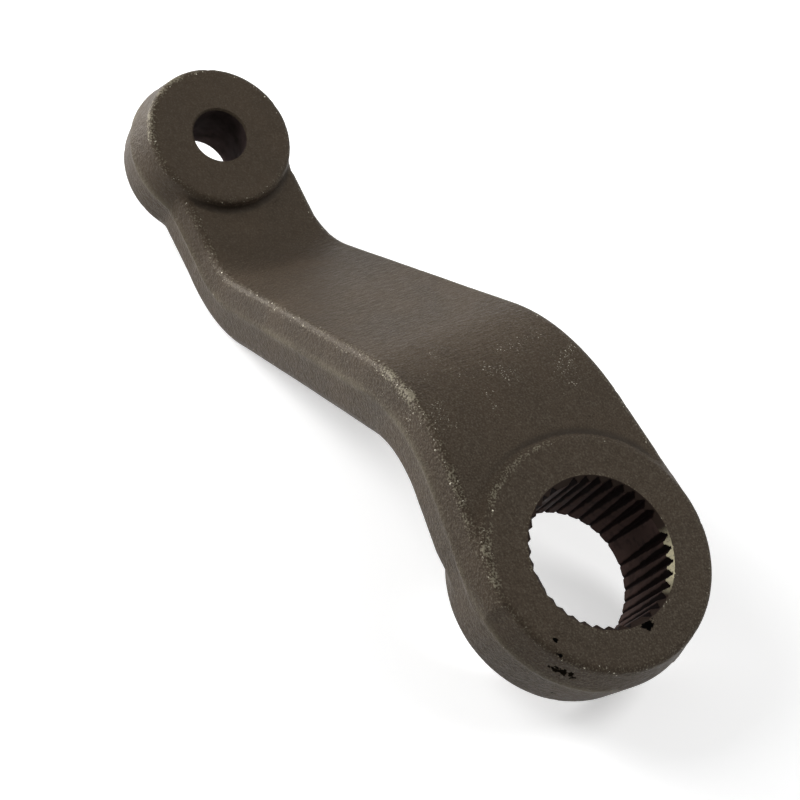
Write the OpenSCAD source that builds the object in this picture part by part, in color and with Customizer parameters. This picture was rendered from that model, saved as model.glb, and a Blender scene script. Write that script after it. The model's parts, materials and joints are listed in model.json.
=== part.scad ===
// Cranked pitman arm for a steering box: a one-piece steel forging with a serrated eye for
// the sector shaft, a sloping arm, and a lower, smaller eye with a tapered hole for a ball stud.
// Z runs along both bores, X from the large eye to the small one, and the origin is on the
// axis of the serrated bore, half way through the large eye.

/* [Layout] */
// distance between the axes of the two eyes
eye_distance = 128; // [124:0.5:134]
// how far the small eye's upper face lies below the large eye's upper face
drop = 63.5; // [56:0.5:68]
// slope of the middle of the arm, in degrees
slope = 50; // [48:0.5:54]

/* [Large eye] */
// thickness of the large eye, through its bore
large_thickness = 22; // [20:0.5:25]
// outside radius of the large eye at the parting line
large_radius = 26.4; // [25.5:0.1:28]
// step from the large eye's upper face down to the arm's upper face
large_step = 0.9; // [0.6:0.1:1.4]

/* [Serrated bore] */
// serration pitches round the bore, with the ones that are left uncut
serrations = 36; // [32:4:40]
// pitches left uncut, evenly spread, as wide master lands
master_lands = 4; // [2:2:4]
// turn of the master lands from the line between the eyes, in degrees
serration_turn = 2.5; // [0:0.5:5]
// radius of the bore over the tips of the serrations
tip_radius = 14.9; // [14.6:0.1:15.1]
// depth of a serration groove at the upper face
groove_depth = 0.98; // [0.84:0.02:1.1]
// slope of a groove's root, which runs out towards the lower face, in degrees
groove_slope = 2; // [1.5:0.25:3.5]
// share of the pitch that the mouth of a groove takes up at the upper face
groove_share = 0.88; // [0.7:0.02:0.9]
// width of the flat at the root of a groove
groove_root = 0.24; // [0.16:0.02:0.4]
// radius of the lead-in at the upper face
lead_radius = 16.1; // [15.9:0.1:16.6]
// depth of the chamfer at the lower face
lower_chamfer = 1.9; // [1:0.1:2.2]

/* [Small eye] */
// thickness of the small eye
small_thickness = 18.8; // [18.5:0.1:20]
// outside radius of the small eye at the parting line
small_radius = 18.7; // [18.2:0.1:20]
// step from the small eye's upper face down to the arm's upper face
small_step = 2.4; // [1.6:0.1:2.6]
// radius of the ball stud hole at the upper face
stud_radius = 6.35; // [6:0.05:7.5]
// growth of the stud hole's diameter for each millimetre of depth
stud_taper = 0.125; // [0.1:0.005:0.15]
// break of the stud hole's edges
stud_break = 0.5; // [0.3:0.1:0.8]

/* [Arm] */
// thickness of the arm beside the large eye
arm_thickness = 18.5; // [17.4:0.1:19]
// thickness of the arm beside the small eye
neck_thickness = 16; // [14.8:0.1:16]
// width of the arm at the large eye, over the parting line
arm_width = 50.4; // [48:0.2:50.6]
// width of the neck beside the small eye, over the parting line
neck_width = 31.4; // [29.4:0.2:32.6]
// distance from the large eye's axis over which the arm keeps its full width
full_width_length = 15; // [13:0.5:17]
// how far the narrowing runs ahead of an even taper, as a share of the narrowing
waist = 0.26; // [0.1:0.02:0.4]
// distance from the large eye's axis to the start of the upper bend
bend_start = 26; // [24:0.5:28]
// radius of the upper bend on the middle line of the arm
upper_bend = 31; // [27:0.5:33]
// radius of the lower bend on the middle line of the arm
lower_bend = 22; // [19:0.5:24]
// radius of the fillet between the neck and the small eye
neck_fillet = 12; // [8:0.5:16]

/* [Forging] */
// draft of the forged sides below the parting line, in degrees
draft = 6; // [4:0.5:8]
// draft of the forged sides above the parting line, in degrees
upper_draft = 12; // [8:0.5:16]
// share of the arm's thickness that lies above the parting line
part_share = 0.38; // [0.36:0.01:0.5]
// radius of the long edges on the arm's lower side
arm_edge = 3.5; // [2.5:0.25:4.5]
// radius of the long edges on the arm's upper side
upper_edge = 1.5; // [1:0.25:2.5]
// radius of the lower rims of the eyes
eye_edge = 2; // [1.5:0.25:2.5]
// radius of the upper rims of the eyes
upper_rim = 0.9; // [0.6:0.1:1.5]

/* [Hidden] */
coat = [0.26, 0.235, 0.2];
// how far a cutter runs out past a face
overrun = 1;
// how far the cone of a broken edge runs in past the wall that it breaks
cut_in = 0.3;
// how far the mouth of a groove runs in past the tips of the serrations
groove_inset = 0.6;
// how far the neck's fillet ends inside the small eye's wall
fillet_inset = 1;
// fineness of the edges, of the round walls and of the arm's straights, bends and fillet
arc_steps = 6;
round_fn = 96;
straight_gap = 4.5;
bend_gap = 2.2;
fillet_gap = 1.5;
// levels of the faces and of the arm's middle line at its two ends
large_top = large_thickness / 2;
large_bottom = -large_thickness / 2;
small_top = large_top - drop;
small_bottom = small_top - small_thickness;
arm_level = large_top - large_step - arm_thickness / 2;
neck_level = small_top - small_step - neck_thickness / 2;
arm_part = arm_level + arm_thickness * (0.5 - part_share);
neck_part = neck_level + neck_thickness * (0.5 - part_share);
// lengths along the middle line, to the end of each straight and each bend
fall = arm_level - neck_level;
sloping = (fall - (upper_bend + lower_bend) * (1 - cos(slope))) / sin(slope);
upper_end = bend_start + upper_bend * slope * PI / 180;
lower_start = upper_end + sloping;
lower_end = lower_start + lower_bend * slope * PI / 180;
neck_start = bend_start + (upper_bend + lower_bend) * sin(slope) + sloping * cos(slope);
arm_end = lower_end + eye_distance - neck_start;
// fillet that leads the neck out to the small eye, drawn to a circle just inside its wall
fillet_target = small_radius - fillet_inset;
fillet_reach = fillet_target + neck_fillet;
fillet_side = neck_width / 2 + neck_fillet;
fillet_x = eye_distance - sqrt(pow(fillet_reach, 2) - pow(fillet_side, 2));
fillet_end = fillet_x + (eye_distance - fillet_x) * neck_fillet / fillet_reach;
// serration sizes
pitch = 360 / serrations;
root_radius = tip_radius + groove_depth;
mouth_half = groove_share * PI * tip_radius / serrations;
flank = (mouth_half - groove_root / 2) / groove_depth;

function arc(y, z, r, from, to) =
    [for (i = [0 : arc_steps])
        let (a = from + (to - from) * i / arc_steps)
        [y + r * cos(a), z + r * sin(a)]];

// centre of an edge radius r whose face is at height h from the parting line of a side at y with draft d
function edge_y(y, h, r, d) = y - r * cos(d) - (h - r + r * sin(d)) * tan(d);

// lengths from one place up to just short of another, no further apart than the gap
function spread(from, to, gap) =
    let (count = ceil((to - from) / gap))
    [for (i = [0 : count - 1]) from + (to - from) * i / count];

// place on the middle line at length s: x, z and the downward slope
function place(s) =
    s < bend_start ? [s, arm_level, 0] :
    s < upper_end ?
        let (a = (s - bend_start) / upper_bend * 180 / PI)
        [bend_start + upper_bend * sin(a), arm_level - upper_bend * (1 - cos(a)), a] :
    s < lower_start ?
        let (t = s - upper_end)
        [bend_start + upper_bend * sin(slope) + t * cos(slope),
         arm_level - upper_bend * (1 - cos(slope)) - t * sin(slope), slope] :
    s < lower_end ?
        let (a = (lower_end - s) / lower_bend * 180 / PI)
        [neck_start - lower_bend * sin(a), neck_level + lower_bend * (1 - cos(a)), a] :
    [neck_start + s - lower_end, neck_level, 0];

function thickness(s) =
    let (k = max(0, min((s - upper_end) / (lower_end - upper_end), 1)))
    arm_thickness + (neck_thickness - arm_thickness) * k;

function along(x) = max(0, min((x - full_width_length) / (neck_start - full_width_length), 1));

function taper(x) = along(x) * (1 + waist * (1 - along(x)));

function flare(x) =
    x < fillet_x ? 0 : neck_fillet - sqrt(pow(neck_fillet, 2) - pow(min(x, fillet_end) - fillet_x, 2));

function half_width(x) = (arm_width + (neck_width - arm_width) * taper(x)) / 2 + flare(x);

// outline of the forged section across the middle line, from the parting line round by the top
function section(w, t) =
    let (p = t * (0.5 - part_share), u = upper_edge, d = arm_edge, zu = t / 2 - u, zd = d - t / 2)
    let (yu = edge_y(w, t / 2 - p, u, upper_draft), yd = edge_y(w, t / 2 + p, d, draft))
    concat(
        [[w, p]], arc(yu, zu, u, upper_draft, 90), arc(-yu, zu, u, 90, 180 - upper_draft),
        [[-w, p]], arc(-yd, zd, d, 180 + draft, 270), arc(yd, zd, d, 270, 360 - draft));

module arm() {
    stations = concat(
        spread(0, bend_start, straight_gap), spread(bend_start, upper_end, bend_gap),
        spread(upper_end, lower_start, straight_gap), spread(lower_start, lower_end, bend_gap),
        spread(lower_end, arm_end, fillet_gap), [arm_end]);
    rings = [for (s = stations) section(half_width(place(s)[0]), thickness(s))];
    n = len(rings[0]);
    last = len(stations) - 1;
    points = [for (j = [0 : last], q = rings[j]) let (p = place(stations[j]))
        [p[0] + q[1] * sin(p[2]), q[0], p[1] + q[1] * cos(p[2])]];
    sides = [for (j = [0 : last - 1], i = [0 : n - 1]) let (k = (i + 1) % n, a = j * n, b = a + n)
        each [[a + i, b + i, b + k], [a + i, b + k, a + k]]];
    ends = [[for (i = [0 : n - 1]) i], [for (i = [n - 1 : -1 : 0]) last * n + i]];
    polyhedron(points, concat(sides, ends));
}

module eye(radius, top, bottom, part) {
    up = edge_y(radius, top - part, upper_rim, upper_draft);
    down = edge_y(radius, part - bottom, eye_edge, draft);
    rotate_extrude($fn = round_fn)
        polygon(concat(
            [[0, bottom]], arc(down, bottom + eye_edge, eye_edge, -90, -draft),
            [[radius, part]], arc(up, top - upper_rim, upper_rim, upper_draft, 90), [[0, top]]));
}

module large_eye() {
    eye(large_radius, large_top, large_bottom, arm_part);
}

module small_eye() {
    translate([eye_distance, 0, 0])
        eye(small_radius, small_top, small_bottom, neck_part);
}

module groove() {
    reach = groove_depth + groove_inset;
    length = large_thickness + overrun;
    translate([root_radius, 0, large_top])
        rotate([0, groove_slope, 0])
            translate([0, 0, -length])
                linear_extrude(height = length + overrun)
                    polygon([
                        [-reach, -mouth_half - groove_inset * flank], [0, -groove_root / 2],
                        [0, groove_root / 2], [-reach, mouth_half + groove_inset * flank]]);
}

module serrated_bore() {
    lead_depth = lead_radius - tip_radius + cut_in;
    translate([0, 0, large_bottom - overrun])
        cylinder(h = large_thickness + 2 * overrun, r = tip_radius, $fn = round_fn);
    for (i = [0 : serrations - 1])
        if (i % (serrations / master_lands) != 0)
            rotate([0, 0, serration_turn + i * pitch])
                groove();
    translate([0, 0, large_top - lead_depth])
        cylinder(
            h = lead_depth + overrun, r1 = lead_radius - lead_depth,
            r2 = lead_radius + overrun, $fn = round_fn);
    translate([0, 0, large_bottom - overrun])
        cylinder(
            h = overrun + lower_chamfer + cut_in, r1 = tip_radius + lower_chamfer + overrun,
            r2 = tip_radius - cut_in, $fn = round_fn);
}

module stud_hole() {
    widening = stud_taper / 2;
    lower_radius = stud_radius + widening * small_thickness;
    translate([eye_distance, 0, small_bottom - overrun])
        cylinder(
            h = small_thickness + 2 * overrun, r1 = lower_radius + widening * overrun,
            r2 = stud_radius - widening * overrun, $fn = round_fn);
    translate([eye_distance, 0, small_top - stud_break - cut_in])
        cylinder(
            h = stud_break + cut_in + overrun, r1 = stud_radius - cut_in,
            r2 = stud_radius + stud_break + overrun, $fn = round_fn);
    translate([eye_distance, 0, small_bottom - overrun])
        cylinder(
            h = stud_break + cut_in + overrun, r1 = lower_radius + stud_break + overrun,
            r2 = lower_radius - cut_in, $fn = round_fn);
}

module pitman_arm() {
    color(coat)
        difference() {
            union() {
                arm();
                large_eye();
                small_eye();
            }
            serrated_bore();
            stud_hole();
        }
}

pitman_arm();
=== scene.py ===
import itertools
import json
import math

import bpy
import numpy as np
from mathutils import Matrix, Vector


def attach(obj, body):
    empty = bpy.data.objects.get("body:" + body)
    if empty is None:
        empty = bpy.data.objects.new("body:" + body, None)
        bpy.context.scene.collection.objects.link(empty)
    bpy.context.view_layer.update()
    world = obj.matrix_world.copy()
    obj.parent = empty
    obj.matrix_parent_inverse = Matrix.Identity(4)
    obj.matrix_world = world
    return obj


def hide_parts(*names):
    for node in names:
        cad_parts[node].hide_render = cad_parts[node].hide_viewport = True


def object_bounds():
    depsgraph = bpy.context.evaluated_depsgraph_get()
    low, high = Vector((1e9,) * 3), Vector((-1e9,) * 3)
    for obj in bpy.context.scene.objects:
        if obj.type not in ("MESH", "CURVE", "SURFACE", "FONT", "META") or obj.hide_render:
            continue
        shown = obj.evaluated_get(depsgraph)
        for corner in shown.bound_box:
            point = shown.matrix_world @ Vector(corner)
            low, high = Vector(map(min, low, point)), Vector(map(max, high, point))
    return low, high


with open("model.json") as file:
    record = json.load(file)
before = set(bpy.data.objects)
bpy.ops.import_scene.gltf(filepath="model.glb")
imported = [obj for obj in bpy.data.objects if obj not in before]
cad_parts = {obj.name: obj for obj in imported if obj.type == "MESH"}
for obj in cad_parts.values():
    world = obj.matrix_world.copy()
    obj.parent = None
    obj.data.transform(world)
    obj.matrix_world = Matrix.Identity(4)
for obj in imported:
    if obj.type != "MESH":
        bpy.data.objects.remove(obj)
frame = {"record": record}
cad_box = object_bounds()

# Lengths here are in millimetres, and the finished mesh is scaled to metres.
MM = 0.001
MOUNTS = {mount["name"]: mount for mount in frame["record"]["mounts"]}

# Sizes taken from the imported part
LARGE_TOP = cad_box[1].z / MM
LARGE_BOTTOM = -LARGE_TOP
LARGE_RADIUS = cad_box[1].y / MM
EYE_DISTANCE = MOUNTS["stud_hole"]["pos_m"][0] / MM
SMALL_RADIUS = cad_box[1].x / MM - EYE_DISTANCE
SMALL_TOP = MOUNTS["stud_nut_seat"]["pos_m"][2] / MM
SMALL_BOTTOM = cad_box[0].z / MM
TIP_RADIUS = MOUNTS["shaft_bore"]["dims"]["r_mm"]

# Driving sizes of the forging, the same as in the part's source
SLOPE = math.radians(50)
LARGE_STEP = 0.9
SMALL_STEP = 2.4
ARM_THICKNESS = 18.5
NECK_THICKNESS = 16.0
ARM_WIDTH = 50.4
NECK_WIDTH = 31.4
FULL_WIDTH_LENGTH = 15.0
WAIST = 0.26
BEND_START = 26.0
UPPER_BEND = 31.0
LOWER_BEND = 22.0
NECK_FILLET = 12.0
FILLET_INSET = 1.0
DRAFT = math.radians(6)
UPPER_DRAFT = math.radians(12)
PART_SHARE = 0.38
ARM_EDGE = 3.5
UPPER_EDGE = 1.5
EYE_EDGE = 2.0
UPPER_RIM = 0.9
SERRATIONS = 36
MASTER_LANDS = 4
SERRATION_TURN = math.radians(2.5)
GROOVE_DEPTH = 0.98
GROOVE_SLOPE = math.radians(2)
GROOVE_SHARE = 0.88
GROOVE_ROOT = 0.24
LEAD_RADIUS = 16.1
LOWER_CHAMFER = 1.9
STUD_RADIUS = 6.35
STUD_TAPER = 0.125
STUD_BREAK = 0.5

# Softness of the corners between the eyes and the arm: crisp, and smoothed over as beside the large eye
CRISP_BLEND = 1.0
SMOOTH_BLEND = 4.5

# Forging's skin: cell of its grid, room round it, pulls onto the field, step for its slope, sharp angle
CELL = 0.62
MARGIN = 3.0
PULLS = 3
NORMAL_STEP = 0.05
SHARP_ANGLE = math.radians(32)

# Height of places that no stretch of the arm's middle line reaches
FAR = 100.0

# Fineness of the cutters: steps, levels and sides, and how far they stand out of the eyes
FLANK_STEPS = 5
CHAMFER_LEVELS = 4
BORE_LEVELS = 14
LEAD_LEVELS = 9
STUD_LEVELS = 8
STUD_SIDES = 144
OVERRUN = 1.0

# Waves of the forged skin: sizes and depths, share of them on the eyes' level upper faces, noise lattice
WAVES = ((26, 0.16), (9, 0.07), (3.2, 0.025))
FACE_WAVES = 0.35
FACE_NEAR = 0.02
FACE_LEVEL = 0.99
LATTICE = 32

# Raised parting line: height, width, length of its swells, least sideways lean of its walls, and seed
RIDGE_HEIGHT = 0.25
RIDGE_WIDTH = 0.45
RIDGE_LENGTH = 7
RIDGE_SIDE = 0.3
RIDGE_SEED = 11

# Reach and gain of the test for edges and corners, and the dents scattered along the edges
EDGE_REACH = 1.5
BEND_GAIN = 8
NICKS = 60
NICK_EDGE = 0.6
NICK_RADIUS = (0.5, 1.1)
NICK_DEPTH = (0.04, 0.18)
NICK_SEED = 5

# Black chips on the large eye: degrees round the bore, radius, height, length round the bore and width
CHIPS = (
    (-174, 16.7, 11, 1.4, 1.2),
    (123, 22.1, 11, 0.7, 0.6),
    (128, 24.3, 10.9, 0.7, 0.6),
    (135, 26, 7.1, 3.0, 1.3),
    (142, 25.6, -4, 0.8, 0.4))

# Bright part of the lead-in, rubbed steel with a painted highlight: angle round the bore, reach in degrees,
# and fullness in its middle
LEAD_WEAR_AND_HIGHLIGHT_AT = -118.0
LEAD_WEAR_AND_HIGHLIGHT_REACH = 17.0
LEAD_WEAR_AND_HIGHLIGHT_FULL = 1.6

# Bare specks where the coat is rubbed on the crown of the upper bend: x of its middle and reach
RUBBED_X = 42.0
RUBBED_REACH = 11.0

# Places where the edges are worn most, with a painted highlight there: x, y and z, and reach
WORN_AND_HIGHLIGHT_PLACES = (
    (47, 19, 4.5, 5),
    (8, 23.5, 11, 7),
    (20.5, 13.4, 11, 6),
    (23.9, 5.3, 11, 4),
    (136, 15.5, -53, 5),
    (142.7, 4.3, -53, 4))

# Edge wear: share of it on the eyes, how steeply it grows past their walls, and half width of the painted
# highlight line on the large eye's rim
RIM_WEAR = 0.8
ARM_RAMP = 10
RIM_HIGHLIGHT_LINE = 0.45

# Reach of the painted shade in the large eye's crease, width of the light seam, and depth over which the
# tips turn into the painted shade of the grooves
LARGE_SHADE_REACH = 2.5
SEAM_WIDTH = 1.5 * RIDGE_WIDTH
TIP_FADE = 0.3

# How far a hole's wall stays inside its eye's faces, and the most that it leans
WALL_GAP = 0.01
WALL_LEAN = 0.4

# Colours of the coat, of worn steel and of the holes
COAT_DARK = (0.040, 0.0292, 0.0200)
COAT_BROWN = (0.0525, 0.0382, 0.0262)
COAT_GRAIN = (0.085, 0.071, 0.053)
# Worn steel on the edges, also used as a painted highlight on the large eye's rim and at the most worn
# places
WORN_STEEL_AND_HIGHLIGHT = (0.30, 0.275, 0.20)
SPECK = (0.66, 0.62, 0.51)
# Rubbed steel of the lead-in, pale enough to act as a painted highlight
LEAD_BRIGHT = (0.78, 0.71, 0.48)
CHIP = (0.002, 0.002, 0.002)
# Near-black for dark grains and stains, and for the painted shade in corners and creases
DARK_STAIN_AND_SHADE = (0.008, 0.006, 0.005)
# Painted shade in the bore's grooves
BORE_GROOVE_SHADE = (0.008, 0.0044, 0.0042)
BORE_TIP = (0.070, 0.044, 0.038)
LEAD_DARK = (0.024, 0.0155, 0.0125)
STUD_WALL = (0.066, 0.044, 0.042)
SHEEN = (1.0, 0.84, 0.65)

# Gloss of the four materials, and how much of a speck is bare metal
COAT_GLOSS = 0.18
BORE_GLOSS = 0.01
LEAD_GLOSS = 0.1
STUD_GLOSS = 0.02
SPECK_METAL = 0.6

# Textures of the materials: size, detail and, where there is any, distortion
GRAIN = (0.4, 3)
PEBBLES = (1.5, 4)
PATCHES = (16, 5, 0.6)
RAGGED = (1.0, 6)
CREASED = (0.8, 5)
WEAR_BREAKS = (3, 4)
NICK_SPECKS = (0.6, 2)
FLECKS = (0.3, 3)
FLECK_CLUSTERS = (5, 3)
BORE_LINES = (0.35, 3)
BORE_STAIN = (2.5, 4)
STUD_STAIN = (3, 3)

# Scales along x, y and z that draw out the creases of the coat and the lines of the bore
CREASED_SCALE = (1, 0.4, 1)
LINES_SCALE = (1, 1, 0.06)

# Relief of the materials: depth and strength
PEBBLE_RELIEF = (0.08, 0.6)
CREASED_RELIEF = (0.26, 1.0)
GRAIN_RELIEF = (0.10, 1.0)
LINE_RELIEF = (0.03, 0.4)
LEAD_RELIEF = (0.05, 0.6)

# Bands of the coat's colour: start and end of what is read, then the values there unless they are 0 and 1
PATCH_BAND = (0.35, 0.68)
COARSE_BAND = (30 * MM, 110 * MM, 1.0, 0.45)
LIGHT_GRAIN_BAND = (0.48, 0.72)
DARK_GRAIN_BAND = (0.3, 0.5, 0.45, 0)
CORNER_SHADE_BAND = (0.3, 1.0, 0, 0.7)

# Bands of the coat's wear and of the painted highlight on its edges
WORN_AND_HIGHLIGHT_BAND = (0, 0.9, 0.36, 1.0)
BREAK_BAND = (0.35, 0.65, 0.55, 1.15)
WEAR_GRAIN_BAND = (0.3, 0.7, -0.45, 0.45)
WEAR_BAND = (0.42, 1.1, 0, 0.55)
SEAM_BAND = (0.35, 0.65, 0.05, 0.2)

# Bands of the bare specks and of the chips
NICK_EDGE_BAND = (0.2, 0.6, 0, 0.12)
NICK_BAND = (0.81, 0.87)
CLUSTER_BAND = (0.3, 0.7)
RUBBED_BAND = (0.1, 0.9, -0.1, 0.1)
FLECK_BAND = (0.72, 0.82)
RAGGED_BAND = (0.3, 0.7, -0.2, 0.2)
CHIP_BAND = (0.5, 0.56)

# Bands of the roughness, and the patches' share in that of the coat
COAT_ROUGH_BAND = (0.5, 1.0, 0.46, 0.58)
PATCH_ROUGH = 0.5
BORE_ROUGH_BAND = (0.3, 0.7, 0.42, 0.6)
LEAD_ROUGH_BAND = (0.3, 0.7, 0.4, 0.55)
STUD_ROUGH_BAND = (0.3, 0.7, 0.7, 0.85)

# Bands of the bore's tips against the painted shade of its grooves, and of the bright lead-in with its
# painted highlight
TIP_STAIN_BAND = (0.3, 0.7, -0.3, 0.3)
TIP_BAND = (0.2, 1.1)
BRIGHT_BAND = (0.3, 0.5, 0.5, 1)

# Floor: width in metres, colour, glow for all rays, more for those that show the background, and settling
FLOOR_SIZE = 6
FLOOR_WHITE = (0.9, 0.9, 0.9)
FLOOR_BOUNCE = 0.13
FLOOR_GLOW = 0.36
SETTLING_ROUNDS = 6

# Light of the room, and lamps with place and size in metres and power in watts
WHITE = (1, 1, 1)
ROOM_LIGHT = 0.15
LAMP_AIM = (0.05, 0, -0.03)
LAMPS = (
    ("key", (0.2, -0.75, 1.0), 0.6, 6.0),
    ("slope_light", (1.05, -0.65, 0.02), 1.2, 0.2),
    ("side_light", (1.15, 0.5, -0.35), 0.6, 19.5),
    ("near_light", (0.42, 0.22, 0.12), 0.3, 0.9))

# Camera: place, turn in degrees, and width of the sensor and length of the lens
CAMERA_PLACE = (-46.19, 272.83, 443.82)
CAMERA_TURN = (22.787, -22.018, -118.437)
SENSOR_WIDTH = 36
LENS_LENGTH = 117

# Levels and lengths that follow from the sizes above
ARM_LEVEL = LARGE_TOP - LARGE_STEP - ARM_THICKNESS / 2
ARM_TOP = LARGE_TOP - LARGE_STEP
NECK_LEVEL = SMALL_TOP - SMALL_STEP - NECK_THICKNESS / 2
PART_OVER = 0.5 - PART_SHARE
ARM_PART = ARM_LEVEL + ARM_THICKNESS * PART_OVER
NECK_PART = NECK_LEVEL + NECK_THICKNESS * PART_OVER
BEND_RADII = UPPER_BEND + LOWER_BEND
SLOPING = (ARM_LEVEL - NECK_LEVEL - BEND_RADII * (1 - math.cos(SLOPE))) / math.sin(SLOPE)
UPPER_END = BEND_START + UPPER_BEND * SLOPE
LOWER_START = UPPER_END + SLOPING
LOWER_END = LOWER_START + LOWER_BEND * SLOPE
NECK_START = BEND_START + BEND_RADII * math.sin(SLOPE) + SLOPING * math.cos(SLOPE)
FILLET_REACH = SMALL_RADIUS - FILLET_INSET + NECK_FILLET
FILLET_SIDE = NECK_WIDTH / 2 + NECK_FILLET
FILLET_X = EYE_DISTANCE - math.sqrt(FILLET_REACH ** 2 - FILLET_SIDE ** 2)
FILLET_END = FILLET_X + (EYE_DISTANCE - FILLET_X) * NECK_FILLET / FILLET_REACH
LARGE_RIM = LARGE_RADIUS - (LARGE_TOP - ARM_PART) * math.tan(UPPER_DRAFT) - UPPER_RIM / 2
ROOT_RADIUS = TIP_RADIUS + GROOVE_DEPTH
PITCH = 2 * math.pi / SERRATIONS
LEAD_START = LARGE_TOP - (LEAD_RADIUS - TIP_RADIUS)
CHAMFER_END = LARGE_BOTTOM + LOWER_CHAMFER
STUD_LOWER_RADIUS = STUD_RADIUS + STUD_TAPER / 2 * (SMALL_TOP - SMALL_BOTTOM)
REST_SPLIT = EYE_DISTANCE / 4

# Corners of a cube
CORNERS = tuple(itertools.product((0, 1), repeat=3))


# Middle line of the arm


def on_upper_bend(x, z):
    """Places over the upper bend, with their length along, x on the middle line and height over it."""
    across, up = x - BEND_START, z - (ARM_LEVEL - UPPER_BEND)
    angle = np.arctan2(across, up)
    here = (angle >= 0) & (angle <= SLOPE) & (up > 0)
    along = BEND_START + UPPER_BEND * angle
    return here, along, BEND_START + UPPER_BEND * np.sin(angle), np.hypot(across, up) - UPPER_BEND


def on_slope(x, z):
    """The same for the sloping straight."""
    sin, cos = math.sin(SLOPE), math.cos(SLOPE)
    across = x - BEND_START - UPPER_BEND * sin
    up = z - (ARM_LEVEL - UPPER_BEND) - UPPER_BEND * cos
    run = across * cos - up * sin
    here = (run > 0) & (run < SLOPING)
    return here, UPPER_END + run, BEND_START + UPPER_BEND * sin + run * cos, across * sin + up * cos


def on_lower_bend(x, z):
    """The same for the lower bend."""
    across, up = x - NECK_START, z - (NECK_LEVEL + LOWER_BEND)
    angle = np.arctan2(-across, -up)
    reach = np.hypot(across, up)
    here = (angle >= 0) & (angle <= SLOPE) & (up < 0) & (reach < 2 * LOWER_BEND)
    along = LOWER_END - LOWER_BEND * angle
    return here, along, NECK_START - LOWER_BEND * np.sin(angle), LOWER_BEND - reach


def middle_line(x, z):
    """Length along the arm's middle line, x of the nearest place on it and height over it."""
    along = np.where(x < BEND_START, x, LOWER_END + x - NECK_START)
    over = np.where(x < BEND_START, z - ARM_LEVEL, np.where(x > NECK_START, z - NECK_LEVEL, FAR))
    line = along, x, over
    for here, *found in (on_upper_bend(x, z), on_lower_bend(x, z), on_slope(x, z)):
        line = [np.where(here, new, old) for new, old in zip(found, line)]
    return line


def half_width(x):
    """Half of the arm's width over the parting line, with the fillet that leads out to the small eye."""
    share = np.clip((x - FULL_WIDTH_LENGTH) / (NECK_START - FULL_WIDTH_LENGTH), 0, 1)
    narrowing = share * (1 + WAIST * (1 - share))
    reach = np.clip(x, FILLET_X, FILLET_END) - FILLET_X
    flare = NECK_FILLET - np.sqrt(NECK_FILLET ** 2 - reach ** 2)
    return (ARM_WIDTH + (NECK_WIDTH - ARM_WIDTH) * narrowing) / 2 + flare


def thickness(along):
    """Thickness of the arm at a length along its middle line."""
    share = np.clip((along - UPPER_END) / (LOWER_END - UPPER_END), 0, 1)
    return ARM_THICKNESS + (NECK_THICKNESS - ARM_THICKNESS) * share


def parting_height(points):
    """Height over the parting line, square to the arm."""
    along, _, over = middle_line(points[:, 0], points[:, 2])
    return over - thickness(along) * PART_OVER


# Shape of the forging as a distance field


def rounded_corner(face, side, radius):
    """Distance to the corner of two faces, broken by a radius."""
    past_face, past_side = face + radius, side + radius
    outside = np.hypot(np.maximum(past_face, 0), np.maximum(past_side, 0))
    return outside + np.minimum(np.maximum(past_face, past_side), 0) - radius


def soft_union(one, other, softness):
    """The nearer of two distances, with the corner between them filled."""
    fill = np.maximum(softness - np.abs(one - other), 0) / softness
    return np.minimum(one, other) - fill * fill * softness / 4


def forged_corner(face, across, over, upper_radius, lower_radius):
    """Corner of a face and a forged side, given the distances across from the parting line and over it."""
    draft = np.where(over > 0, UPPER_DRAFT, DRAFT)
    side = across * np.cos(draft) + np.abs(over) * np.sin(draft)
    return rounded_corner(face, side, np.where(over > 0, upper_radius, lower_radius))


def arm_distance(x, y, z):
    along, near, over = middle_line(x, z)
    thick = thickness(along)
    over_part = over - thick * PART_OVER
    face = np.abs(over) - thick / 2
    body = forged_corner(face, np.abs(y) - half_width(near), over_part, UPPER_EDGE, ARM_EDGE)
    return np.maximum(body, np.maximum(-x, x - EYE_DISTANCE))


def eye_distance(x, y, z, centre, radius, top, bottom, part):
    face = np.maximum(z - top, bottom - z)
    return forged_corner(face, np.hypot(x - centre, y) - radius, z - part, UPPER_RIM, EYE_EDGE)


def large_blend(y, z):
    """Softness beside the large eye: smooth above the parting line, crisp round its face on the -Y side."""
    over_part = np.interp(z, (0, ARM_PART), (CRISP_BLEND, SMOOTH_BLEND))
    below_face = np.interp(z, (ARM_TOP - UPPER_EDGE, ARM_TOP), (SMOOTH_BLEND, CRISP_BLEND))
    plus_y_side = np.interp(y, (0, LARGE_RADIUS), (CRISP_BLEND, SMOOTH_BLEND))
    return np.minimum(over_part, np.maximum(below_face, plus_y_side))


def forging_distance(x, y, z):
    """Distance to the forging before its holes are cut, below zero inside."""
    arm = arm_distance(x, y, z)
    large = eye_distance(x, y, z, 0, LARGE_RADIUS, LARGE_TOP, LARGE_BOTTOM, ARM_PART)
    small = eye_distance(x, y, z, EYE_DISTANCE, SMALL_RADIUS, SMALL_TOP, SMALL_BOTTOM, NECK_PART)
    body = soft_union(soft_union(arm, large, large_blend(y, z)), small, CRISP_BLEND)
    faces = np.maximum(z - LARGE_TOP, SMALL_BOTTOM - z)
    return np.maximum(body, np.maximum(faces, np.abs(y) - LARGE_RADIUS))


def holed_distance(x, y, z):
    """Distance to the forging with plain round holes, below zero inside."""
    bore = np.maximum(LEAD_RADIUS - np.maximum(LARGE_TOP - z, 0), TIP_RADIUS) - np.hypot(x, y)
    hole = STUD_RADIUS - np.hypot(x - EYE_DISTANCE, y)
    return np.maximum(forging_distance(x, y, z), np.maximum(bore, hole))


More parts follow.
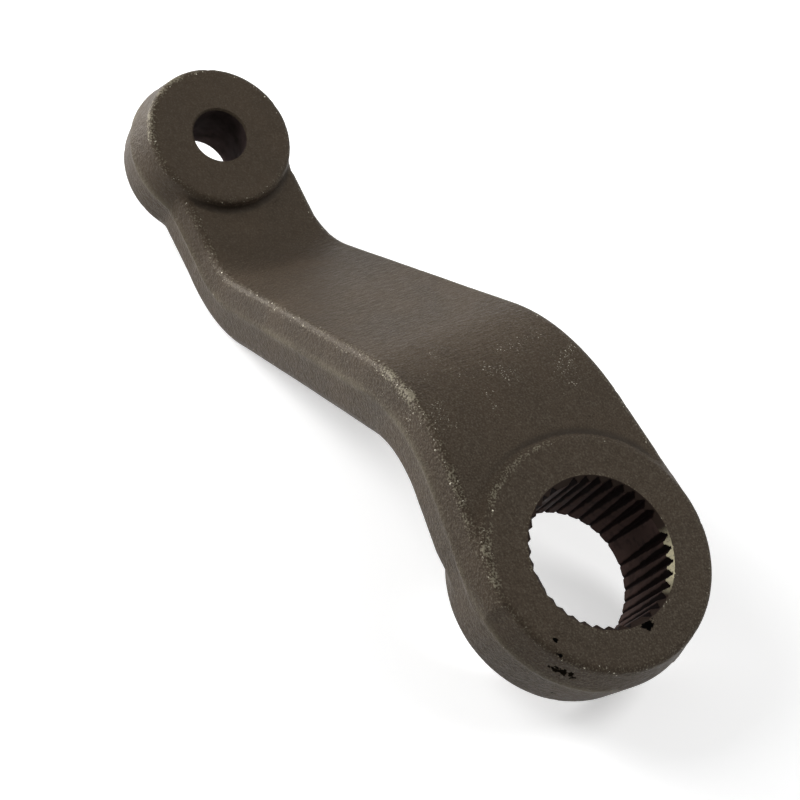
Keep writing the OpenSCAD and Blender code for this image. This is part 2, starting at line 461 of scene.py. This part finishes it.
def skin_normal(points):
    """Outward direction of the field at each point."""
    steps = NORMAL_STEP * np.eye(3)
    slope = np.stack([
        forging_distance(*(points + step).T) - forging_distance(*(points - step).T) for step in steps], 1)
    return slope / np.linalg.norm(slope, axis=1, keepdims=True)


def bend_in(points, distance, reach):
    """How much a point sticks out, from 0 on a flat to about 1 on a tight edge, below zero in a corner."""
    total = np.zeros(len(points))
    ways = [np.array(way) for way in itertools.product((-1, 0, 1), repeat=3) if any(way)]
    for way in ways:
        total += distance(*(points + way / np.linalg.norm(way) * reach).T)
    return (total / len(ways) - distance(*points.T)) * BEND_GAIN / reach


# Surface of the field on a grid of cells


def field_grid(along_x, along_y, along_z):
    """Distances to the forging on a grid of points."""
    y, z = along_y[:, None], along_z[None, :]
    return np.stack([forging_distance(*np.broadcast_arrays(x, y, z)) for x in along_x])


def at_corner(grid, corner):
    """What the grid holds at one corner of every cell."""
    return grid[tuple(slice(start, start + size - 1) for start, size in zip(corner, grid.shape))]


def crossing_place(values):
    """Mean of the places on each cell's edges where the field passes through zero."""
    total, hits = 0, 0
    for corner, axis in itertools.product(CORNERS, range(3)):
        if corner[axis] == 0:
            along = np.eye(3, dtype=int)[axis]
            start, end = values[corner], values[tuple(corner + along)]
            cross = (start < 0) != (end < 0)
            share = np.where(cross, start / np.where(cross, start - end, 1), 0)
            total = total + (corner + share[:, None] * along) * cross[:, None]
            hits = hits + cross
    return total / hits[:, None]


def edge_faces(inside, index, axis):
    """Faces across the grid edges that run along one axis and pass through the surface."""
    near = np.take(inside, range(inside.shape[axis] - 1), axis)
    far = np.take(inside, range(1, inside.shape[axis]), axis)
    at = np.argwhere(near != far)
    leaving = near[tuple(at.T)]
    next_way, last_way = np.eye(3, dtype=int)[[(axis + 1) % 3, (axis + 2) % 3]]
    steps = (next_way + last_way, last_way, 0, next_way)
    ring = np.stack([index[tuple((at - step).T)] for step in steps], 1)
    return np.where(leaving[:, None], ring, ring[:, ::-1])


def net_surface(low, high):
    """Vertices and four-sided faces of the field's zero surface."""
    field = field_grid(*[np.arange(start, end + CELL, CELL) for start, end in zip(low, high)])
    inside = field < 0
    count = sum(at_corner(inside, corner).astype(int) for corner in CORNERS)
    crossed = (count > 0) & (count < len(CORNERS))
    cells = np.argwhere(crossed)
    values = {corner: at_corner(field, corner)[crossed] for corner in CORNERS}
    points = np.array(low) + (cells + crossing_place(values)) * CELL
    index = np.full(count.shape, -1)
    index[crossed] = np.arange(len(cells))
    return points, np.concatenate([edge_faces(inside, index, axis) for axis in range(3)])


# Unevenness of the skin


def lattice_noise(points, size, seed):
    """Smooth random values from 0 to 1 that change over about the given size."""
    table = np.random.default_rng(seed).random((LATTICE,) * 3)
    scaled = points / size
    base = np.floor(scaled).astype(int)
    part = scaled - base
    part = part * part * (3 - 2 * part)
    total = np.zeros(len(points))
    for corner in CORNERS:
        share = np.prod(np.where(corner, part, 1 - part), axis=1)
        total += share * table[tuple(((base + corner) % LATTICE).T)]
    return total


def bell(offset, reach):
    """Smooth fall from 1 in the middle to nearly 0 at three times the reach."""
    return np.exp(-0.5 * (offset / reach) ** 2)


def wave_depth(points, normal):
    """Depth of the skin's waves, shallower on the upper faces of the eyes."""
    depth = np.zeros(len(points))
    for seed, (size, height) in enumerate(WAVES):
        depth += height * lattice_noise(points, size, seed)
    off_face = np.minimum(np.abs(points[:, 2] - LARGE_TOP), np.abs(points[:, 2] - SMALL_TOP))
    on_face = (off_face < FACE_NEAR) & (normal[:, 2] > FACE_LEVEL)
    return depth * np.where(on_face, FACE_WAVES, 1)


def ridge_height(points, normal):
    """Height of the parting line on the forging's sides."""
    line = bell(parting_height(points), RIDGE_WIDTH) * (np.abs(normal[:, 1]) > RIDGE_SIDE)
    return line * RIDGE_HEIGHT * lattice_noise(points, RIDGE_LENGTH, RIDGE_SEED)


def nick_depth(points):
    """Depth of small dents scattered along the edges."""
    dice = np.random.default_rng(NICK_SEED)
    edge = np.flatnonzero(bend_in(points, forging_distance, EDGE_REACH) > NICK_EDGE)
    depth = np.zeros(len(points))
    for place in points[dice.choice(edge, NICKS)]:
        radius = dice.uniform(*NICK_RADIUS)
        off = np.linalg.norm(points - place, axis=1) / radius
        depth += dice.uniform(*NICK_DEPTH) * np.clip(1 - off * off, 0, 1)
    return depth


def uneven(points, normal):
    """Moves the skin in by waves and nicks, and out again along the parting line."""
    depth = wave_depth(points, normal) - ridge_height(points, normal) + nick_depth(points)
    return points - normal * depth[:, None]


# Meshes


def mesh_object(name, points, faces):
    mesh = bpy.data.meshes.new(name)
    mesh.from_pydata(points.tolist(), [], faces)
    mesh.validate()
    body = bpy.data.objects.new(name, mesh)
    bpy.context.scene.collection.objects.link(body)
    return body


def forging_skin():
    """The forging without holes, its vertices pulled onto the field, made uneven and kept in the CAD box."""
    low, high = [np.array(corner) / MM for corner in cad_box]
    grid_low = (-LARGE_RADIUS - MARGIN, -LARGE_RADIUS - MARGIN, SMALL_BOTTOM - MARGIN)
    grid_high = (EYE_DISTANCE + SMALL_RADIUS + MARGIN, LARGE_RADIUS + MARGIN, LARGE_TOP + MARGIN)
    points, faces = net_surface(grid_low, grid_high)
    for _ in range(PULLS):
        points = points - skin_normal(points) * forging_distance(*points.T)[:, None]
    points = uneven(points, skin_normal(points))
    return mesh_object("forging", np.clip(points, low, high), faces.tolist())


def groove_radius(angle, root):
    """Radius of a groove's wall at an angle from its middle, for the radius of its root."""
    flank = (GROOVE_SHARE * PITCH * TIP_RADIUS - GROOVE_ROOT) / 2 / GROOVE_DEPTH
    across = math.tan(abs(angle))
    flat = root / math.cos(angle)
    sloping = (root + GROOVE_ROOT / 2 / flank) / (1 + across / flank) / math.cos(angle)
    return min(flat, sloping)


def bore_angles():
    """Angles round the bore, closer together in the grooves, and how far each is from a groove's middle."""
    mouth = GROOVE_SHARE * PITCH / 2
    root = GROOVE_ROOT / 2 / ROOT_RADIUS
    flank = [root + (mouth - root) * step / FLANK_STEPS for step in range(FLANK_STEPS + 1)]
    half = [0] + flank + [PITCH / 2]
    offsets = [-offset for offset in half[:0:-1]] + half[:-1]
    lands = range(0, SERRATIONS, SERRATIONS // MASTER_LANDS)
    angles = []
    for groove, offset in itertools.product(range(SERRATIONS), offsets):
        angle = SERRATION_TURN + groove * PITCH + offset
        angles.append((angle, None if groove in lands else offset))
    return angles


def turned_cutter(name, centre, levels, angles, radius_at):
    """Closed cutter with a ring of points at each level, at the radius that the angle and level give."""
    points, faces, count = [], [], len(angles)
    for level in levels:
        for place, angle in enumerate(angles):
            radius = radius_at(place, level)
            points.append((centre + radius * math.cos(angle), radius * math.sin(angle), level))
    for row in range(len(levels) - 1):
        for place in range(count):
            this, following = row * count + place, row * count + (place + 1) % count
            faces.append((this, following, following + count, this + count))
    faces.append(tuple(range(count - 1, -1, -1)))
    faces.append(tuple(range((len(levels) - 1) * count, len(levels) * count)))
    return mesh_object(name, np.array(points), faces)


def serrated_cutter():
    angles, offsets = zip(*bore_angles())
    levels = [LARGE_BOTTOM - OVERRUN]
    levels += list(np.linspace(LARGE_BOTTOM, CHAMFER_END, CHAMFER_LEVELS))
    levels += list(np.linspace(CHAMFER_END, LEAD_START, BORE_LEVELS))[1:]
    levels += list(np.linspace(LEAD_START, LARGE_TOP, LEAD_LEVELS))[1:]
    levels += [LARGE_TOP + OVERRUN]

    def radius_at(place, level):
        lead = LEAD_RADIUS - (LARGE_TOP - level)
        lower = TIP_RADIUS + CHAMFER_END - level
        root = ROOT_RADIUS - (LARGE_TOP - level) * math.tan(GROOVE_SLOPE)
        groove = TIP_RADIUS if offsets[place] is None else groove_radius(offsets[place], root)
        return max(TIP_RADIUS, groove, lead, lower)

    return turned_cutter("serrated_cutter", 0, levels, angles, radius_at)


def stud_cutter():
    breaks = [0, STUD_BREAK / 2, STUD_BREAK]
    inset = 2 * STUD_BREAK
    levels = [SMALL_BOTTOM - OVERRUN] + [SMALL_BOTTOM + step for step in breaks]
    levels += list(np.linspace(SMALL_BOTTOM + inset, SMALL_TOP - inset, STUD_LEVELS))
    levels += [SMALL_TOP - step for step in breaks[::-1]] + [SMALL_TOP + OVERRUN]
    angles = np.linspace(0, 2 * math.pi, STUD_SIDES, endpoint=False)

    def radius_at(_, level):
        wall = STUD_LOWER_RADIUS - STUD_TAPER / 2 * (level - SMALL_BOTTOM)
        upper = STUD_RADIUS + STUD_BREAK - (SMALL_TOP - level)
        lower = STUD_LOWER_RADIUS + STUD_BREAK - (level - SMALL_BOTTOM)
        return max(wall, upper, lower)

    return turned_cutter("stud_cutter", EYE_DISTANCE, levels, angles, radius_at)


def cut_holes(body, cutters):
    """Takes the cutters out of the body and removes them."""
    for cutter in cutters:
        step = body.modifiers.new(cutter.name, "BOOLEAN")
        step.operation = "DIFFERENCE"
        step.solver = "EXACT"
        step.object = cutter
    graph = bpy.context.evaluated_depsgraph_get()
    mesh = bpy.data.meshes.new_from_object(body.evaluated_get(graph))
    body.modifiers.clear()
    body.data = mesh
    for cutter in cutters:
        bpy.data.objects.remove(cutter)


def finish_mesh(mesh):
    """Scales the mesh to metres and shades it smooth but for its sharp edges."""
    mesh.transform(Matrix.Scale(MM, 4))
    mesh.shade_smooth()
    mesh.set_sharp_from_angle(angle=SHARP_ANGLE)


# Values on the vertices that the materials read


def edge_value(points, bend):
    """Edges that wear: those of the arm in full, and those of the eyes in part, with a painted highlight
    line along the large eye's rim.
    """
    to_bore = np.hypot(points[:, 0], points[:, 1])
    to_stud = np.hypot(points[:, 0] - EYE_DISTANCE, points[:, 1])
    past_eyes = np.minimum(to_bore / LARGE_RADIUS, to_stud / SMALL_RADIUS) - 1
    exposed = RIM_WEAR + (1 - RIM_WEAR) * np.clip(past_eyes * ARM_RAMP, 0, 1)
    # Painted highlight: a light line along the rim of the large eye's face
    rim_highlight = bell(to_bore - LARGE_RIM, RIM_HIGHLIGHT_LINE) * (points[:, 2] > ARM_TOP)
    return np.clip(np.maximum(bend, rim_highlight), 0, 1) * exposed * (to_stud > SMALL_RADIUS / 2)


def corner_shade_value(points, bend):
    """Painted shade in the corners, narrow round the small eye and wider round the large one."""
    wide_bend = bend_in(points, holed_distance, LARGE_SHADE_REACH)
    return np.clip(-np.where(points[:, 0] > EYE_DISTANCE / 2, bend, wide_bend), 0, 1)


def chip_value(points):
    """Nearness to the black chips, 1 in the middle of one and 0 at twice its size."""
    value = np.zeros(len(points))
    for angle, radius, height, length, width in CHIPS:
        turn = math.radians(angle)
        off = points - (radius * math.cos(turn), radius * math.sin(turn), height)
        along = off @ (-math.sin(turn), math.cos(turn), 0)
        across = np.sqrt(np.maximum((off * off).sum(1) - along * along, 0))
        value = np.maximum(value, 1 - np.hypot(along / length, across / width) / 2)
    return value


def seam_value(points):
    """Nearness to the parting line, on the sides only."""
    return bell(parting_height(points), SEAM_WIDTH) * (np.abs(points[:, 1]) > STUD_RADIUS)


def rubbed_value(points):
    """Nearness to the crown of the upper bend, on the upper side only."""
    return bell(points[:, 0] - RUBBED_X, RUBBED_REACH) * (parting_height(points) > 0)


def worn_and_highlight_value(points):
    """Nearness to the places where the edges are worn most and carry a painted highlight."""
    near = [bell(np.linalg.norm(points - place, axis=1), reach) for *place, reach in WORN_AND_HIGHLIGHT_PLACES]
    return np.max(near, axis=0)


def tip_value(points):
    """1 on the tips of the serrations, falling to 0 in the grooves."""
    depth = np.hypot(points[:, 0], points[:, 1]) - TIP_RADIUS
    return np.clip(1 - depth / TIP_FADE, 0, 1)


def lead_value(points):
    """Nearness to the bright part of the lead-in, rubbed steel with a painted highlight."""
    turn = np.degrees(np.arctan2(points[:, 1], points[:, 0]))
    return np.clip(LEAD_WEAR_AND_HIGHLIGHT_FULL - np.abs(turn - LEAD_WEAR_AND_HIGHLIGHT_AT) / LEAD_WEAR_AND_HIGHLIGHT_REACH, 0, 1)


def mark_vertices(mesh):
    points = np.array([vertex.co for vertex in mesh.vertices])
    bend = bend_in(points, holed_distance, EDGE_REACH)
    marks = {
        "edge": edge_value(points, bend), "corner_shade": corner_shade_value(points, bend),
        "chip": chip_value(points), "seam": seam_value(points),
        "rubbed": rubbed_value(points), "worn_and_highlight": worn_and_highlight_value(points),
        "tip": tip_value(points), "lead_wear_and_highlight": lead_value(points)}
    for name, values in marks.items():
        attribute = mesh.attributes.new(name, "FLOAT", "POINT")
        attribute.data.foreach_set("value", values.astype(np.float32))


# Materials


class Graph:
    """The nodes of a material or the world, added one call at a time. Sizes are in millimetres."""

    def __init__(self, owner):
        owner.use_nodes = True
        self.owner = owner
        self.tree = owner.node_tree
        self.tree.nodes.clear()

    def add(self, kind, inputs=None, **settings):
        """New node. Of its inputs, a socket is linked and a tuple is a colour."""
        node = self.tree.nodes.new("ShaderNode" + kind)
        for name, value in settings.items():
            setattr(node, name, value)
        for name, value in (inputs or {}).items():
            if isinstance(value, bpy.types.NodeSocket):
                self.tree.links.new(value, node.inputs[name])
            else:
                node.inputs[name].default_value = (*value, 1) if isinstance(value, tuple) else value
        return node

    def place(self):
        """Place on the part, in metres."""
        return self.add("TexCoord").outputs["Object"]

    def noise(self, place, size, detail, distortion=0.0):
        inputs = {"Vector": place, "Scale": 1 / (size * MM), "Detail": detail, "Distortion": distortion}
        return self.add("TexNoise", inputs).outputs["Fac"]

    def stretched(self, place, scale):
        node = self.add("Mapping", {"Vector": place})
        node.inputs["Scale"].default_value = scale
        return node.outputs["Vector"]

    def value(self, name):
        return self.add("Attribute", attribute_name=name).outputs["Fac"]

    def plus(self, one, other):
        return self.add("Math", {0: one, 1: other}, operation="ADD").outputs[0]

    def times(self, one, other):
        return self.add("Math", {0: one, 1: other}, operation="MULTIPLY").outputs[0]

    def larger(self, one, other):
        return self.add("Math", {0: one, 1: other}, operation="MAXIMUM").outputs[0]

    def band(self, value, low, high, to_low=0.0, to_high=1.0):
        inputs = {"Value": value, "From Min": low, "From Max": high, "To Min": to_low, "To Max": to_high}
        return self.add("MapRange", inputs, interpolation_type="SMOOTHSTEP").outputs[0]

    def blend(self, factor, start, end):
        """Mix of two colours. The numbers are the Mix node's sockets for colours."""
        return self.add("Mix", {0: factor, 6: start, 7: end}, data_type="RGBA").outputs[2]

    def bump(self, height, depth, strength, under=None):
        inputs = {"Height": height, "Distance": depth * MM, "Strength": strength}
        if under is not None:
            inputs["Normal"] = under
        return self.add("Bump", inputs).outputs["Normal"]

    def background_rays(self):
        """1 for the rays that show the background: from the camera, and in gloss and glass."""
        path = self.add("LightPath").outputs
        return self.larger(
            self.larger(path["Is Camera Ray"], path["Is Glossy Ray"]), path["Is Transmission Ray"])

    def close(self, inputs):
        shader = self.add("BsdfPrincipled", inputs)
        self.add("OutputMaterial", {"Surface": shader.outputs["BSDF"]})
        return self.owner


def coat_colour(graph, place, grain, patches):
    """Patchy brown with lighter and darker grains, coarser at the large end, and painted shade in the
    corners.
    """
    coarse = graph.band(graph.add("SeparateXYZ", {"Vector": place}).outputs["X"], *COARSE_BAND)
    light = graph.times(graph.band(grain, *LIGHT_GRAIN_BAND), coarse)
    dark = graph.times(graph.band(grain, *DARK_GRAIN_BAND), coarse)
    colour = graph.blend(graph.band(patches, *PATCH_BAND), COAT_DARK, COAT_BROWN)
    colour = graph.blend(light, colour, COAT_GRAIN)
    colour = graph.blend(dark, colour, DARK_STAIN_AND_SHADE)
    # Painted shade: the coat turns near-black in the corners and creases
    return graph.blend(graph.band(graph.value("corner_shade"), *CORNER_SHADE_BAND), colour, DARK_STAIN_AND_SHADE)


def coat_wear_and_highlight(graph, place, edge, grain, patches):
    """How much the coat is worn off the edges and along the parting line, with a painted highlight on the
    large eye's rim and at the most worn places.
    """
    rub_and_highlight = graph.times(edge, graph.band(graph.value("worn_and_highlight"), *WORN_AND_HIGHLIGHT_BAND))
    rub_and_highlight = graph.times(rub_and_highlight, graph.band(graph.noise(place, *WEAR_BREAKS), *BREAK_BAND))
    wear_and_highlight = graph.band(graph.plus(rub_and_highlight, graph.band(grain, *WEAR_GRAIN_BAND)), *WEAR_BAND)
    seam = graph.times(graph.value("seam"), graph.band(patches, *SEAM_BAND))
    return graph.larger(wear_and_highlight, seam)


def coat_specks(graph, place, edge):
    """Bare specks: in clusters on the crown of the upper bend, and single ones on the edges."""
    nick = graph.plus(graph.noise(place, *NICK_SPECKS), graph.band(edge, *NICK_EDGE_BAND))
    clusters = graph.band(graph.noise(place, *FLECK_CLUSTERS), *CLUSTER_BAND)
    rubbed = graph.times(graph.value("rubbed"), clusters)
    fleck = graph.plus(graph.noise(place, *FLECKS), graph.band(rubbed, *RUBBED_BAND))
    return graph.larger(graph.band(fleck, *FLECK_BAND), graph.band(nick, *NICK_BAND))


def coat_chips(graph, place):
    """Black chips with ragged edges."""
    ragged = graph.band(graph.noise(place, *RAGGED), *RAGGED_BAND)
    return graph.band(graph.plus(graph.value("chip"), ragged), *CHIP_BAND)


def coat_relief(graph, place, grain, pebbles):
    """Pebbled, creased and grainy surface of the forging."""
    creased = graph.noise(graph.stretched(place, CREASED_SCALE), *CREASED)
    normal = graph.bump(pebbles, *PEBBLE_RELIEF)
    normal = graph.bump(creased, *CREASED_RELIEF, normal)
    return graph.bump(grain, *GRAIN_RELIEF, normal)


def coat_material():
    """Dark, oily phosphate coat over grainy forged steel, rubbed bright on the edges."""
    graph = Graph(bpy.data.materials.new("forged_coat"))
    place = graph.place()
    grain = graph.noise(place, *GRAIN)
    pebbles = graph.noise(place, *PEBBLES)
    patches = graph.noise(place, *PATCHES)
    edge = graph.value("edge")
    speck = coat_specks(graph, place, edge)
    chip = coat_chips(graph, place)
    colour = coat_colour(graph, place, grain, patches)
    # Worn edges, partly a painted highlight on the lit rim and edges
    colour = graph.blend(coat_wear_and_highlight(graph, place, edge, grain, patches), colour, WORN_STEEL_AND_HIGHLIGHT)
    colour = graph.blend(speck, colour, SPECK)
    colour = graph.blend(chip, colour, CHIP)
    rough = graph.band(graph.plus(pebbles, graph.times(patches, PATCH_ROUGH)), *COAT_ROUGH_BAND)
    return graph.close({
        "Base Color": colour,
        "Roughness": graph.larger(rough, chip),
        "Metallic": graph.larger(graph.times(speck, SPECK_METAL), chip),
        "Specular IOR Level": COAT_GLOSS,
        "Specular Tint": SHEEN,
        "Normal": coat_relief(graph, place, grain, pebbles)})


def bore_material():
    """Broached walls: dull brown on the tips, with painted shade that turns the grooves black, and fine
    lines along the bore.
    """
    graph = Graph(bpy.data.materials.new("bore_wall"))
    place = graph.place()
    lines = graph.noise(graph.stretched(place, LINES_SCALE), *BORE_LINES)
    stain = graph.noise(place, *BORE_STAIN)
    tips = graph.band(graph.plus(graph.value("tip"), graph.band(stain, *TIP_STAIN_BAND)), *TIP_BAND)
    return graph.close({
        # Painted shade: the grooves go near-black and the tips stay dull brown
        "Base Color": graph.blend(tips, BORE_GROOVE_SHADE, BORE_TIP),
        "Roughness": graph.band(stain, *BORE_ROUGH_BAND),
        "Specular IOR Level": BORE_GLOSS,
        "Specular Tint": SHEEN,
        "Normal": graph.bump(lines, *LINE_RELIEF)})


def lead_material():
    """Lead-in of the bore: dark, but rubbed to bright steel on one side, where a painted highlight also
    lies.
    """
    graph = Graph(bpy.data.materials.new("lead_in"))
    grain = graph.noise(graph.place(), *GRAIN)
    # Bright steel on one side of the lead-in, which is also a painted highlight where the light falls
    bright = graph.times(graph.value("lead_wear_and_highlight"), graph.band(grain, *BRIGHT_BAND))
    return graph.close({
        "Base Color": graph.blend(bright, LEAD_DARK, LEAD_BRIGHT),
        "Roughness": graph.band(grain, *LEAD_ROUGH_BAND),
        "Specular IOR Level": LEAD_GLOSS,
        "Specular Tint": SHEEN,
        "Normal": graph.bump(grain, *LEAD_RELIEF)})


def stud_material():
    """Smooth, dark, reamed wall of the stud hole."""
    graph = Graph(bpy.data.materials.new("stud_wall"))
    stain = graph.noise(graph.place(), *STUD_STAIN)
    return graph.close({
        "Base Color": graph.blend(stain, STUD_WALL, DARK_STAIN_AND_SHADE),
        "Roughness": graph.band(stain, *STUD_ROUGH_BAND),
        "Specular IOR Level": STUD_GLOSS,
        "Specular Tint": SHEEN})


def share_out(mesh):
    """Gives the coat, the bore's wall, its lead-in and the wall of the stud hole their materials."""
    mesh.materials.clear()
    for material in (coat_material(), bore_material(), lead_material(), stud_material()):
        mesh.materials.append(material)
    coat, bore, lead, stud = range(4)
    for face in mesh.polygons:
        x, y, z = face.center
        in_bore = math.hypot(x, y) < LEAD_RADIUS - WALL_GAP and abs(z) < LARGE_TOP - WALL_GAP
        in_hole = math.hypot(x - EYE_DISTANCE, y) < SMALL_RADIUS / 2 and abs(face.normal.z) < WALL_LEAN
        bore_part = lead if face.normal.z > WALL_LEAN else bore
        face.material_index = bore_part if in_bore else stud if in_hole else coat


# The whole part


def build_part():
    body = forging_skin()
    cut_holes(body, [serrated_cutter(), stud_cutter()])
    mark_vertices(body.data)
    share_out(body.data)
    finish_mesh(body.data)
    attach(body, "root")
    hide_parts("pitman_arm")
    return body


# Floor, light and camera


def upward(tilt):
    """Direction square to a table that is tilted along the arm."""
    return np.array([math.sin(tilt), 0, math.cos(tilt)])


def resting_plane(points):
    """Tilt and level of the table that the part lies on, under its large eye and its lower bend."""
    tilt = SLOPE / 2
    near_large = points[:, 0] < REST_SPLIT
    for _ in range(SETTLING_ROUNDS):
        height = points @ upward(tilt)
        first = points[np.argmin(np.where(near_large, height, np.inf))]
        second = points[np.argmin(np.where(near_large, np.inf, height))]
        tilt = math.atan2(first[2] - second[2], second[0] - first[0])
    return tilt, (points @ upward(tilt)).min()


def floor_material():
    """White floor that glows for the background and can be seen only from above."""
    graph = Graph(bpy.data.materials.new("floor_white"))
    white = graph.add("BsdfDiffuse", {"Color": FLOOR_WHITE}).outputs["BSDF"]
    gain = graph.plus(graph.times(graph.background_rays(), FLOOR_GLOW), FLOOR_BOUNCE)
    glow = graph.add("Emission", {"Strength": gain}).outputs["Emission"]
    upper = graph.add("AddShader", {0: white, 1: glow}).outputs["Shader"]
    clear = graph.add("BsdfTransparent").outputs["BSDF"]
    below = graph.add("NewGeometry").outputs["Backfacing"]
    both = graph.add("MixShader", {0: below, 1: upper, 2: clear}).outputs["Shader"]
    graph.add("OutputMaterial", {"Surface": both})
    return graph.owner


def add_floor(body):
    points = np.array([vertex.co for vertex in body.data.vertices])
    tilt, level = resting_plane(points / MM)
    bpy.ops.mesh.primitive_plane_add(size=FLOOR_SIZE)
    floor = bpy.context.object
    floor.name = "floor"
    floor.rotation_euler = (0, tilt, 0)
    floor.location = upward(tilt) * level * MM
    floor.data.materials.append(floor_material())


def add_world():
    """White for the rays that show the background, and weak room light for the others."""
    world = bpy.data.worlds.new("studio")
    bpy.context.scene.world = world
    graph = Graph(world)
    seen = graph.add("Background", {"Color": WHITE}).outputs["Background"]
    room = graph.add("Background", {"Color": WHITE, "Strength": ROOM_LIGHT}).outputs["Background"]
    both = graph.add("MixShader", {0: graph.background_rays(), 1: room, 2: seen}).outputs["Shader"]
    graph.add("OutputWorld", {"Surface": both})


def add_lamp(name, place, size, power):
    data = bpy.data.lights.new(name, "AREA")
    data.shape = "DISK"
    data.size = size
    data.energy = power
    lamp = bpy.data.objects.new(name, data)
    lamp.location = Vector(place)
    lamp.rotation_euler = (Vector(place) - Vector(LAMP_AIM)).to_track_quat("Z", "Y").to_euler()
    bpy.context.scene.collection.objects.link(lamp)


def add_camera():
    data = bpy.data.cameras.new("photo_camera")
    data.sensor_width = SENSOR_WIDTH
    data.lens = LENS_LENGTH
    camera = bpy.data.objects.new("photo_camera", data)
    camera.location = Vector(CAMERA_PLACE) * MM
    camera.rotation_euler = [math.radians(angle) for angle in CAMERA_TURN]
    bpy.context.scene.collection.objects.link(camera)
    bpy.context.scene.camera = camera


part = build_part()
add_floor(part)
add_world()
for lamp_values in LAMPS:
    add_lamp(*lamp_values)
add_camera()
bpy.context.scene.view_settings.view_transform = "Standard"
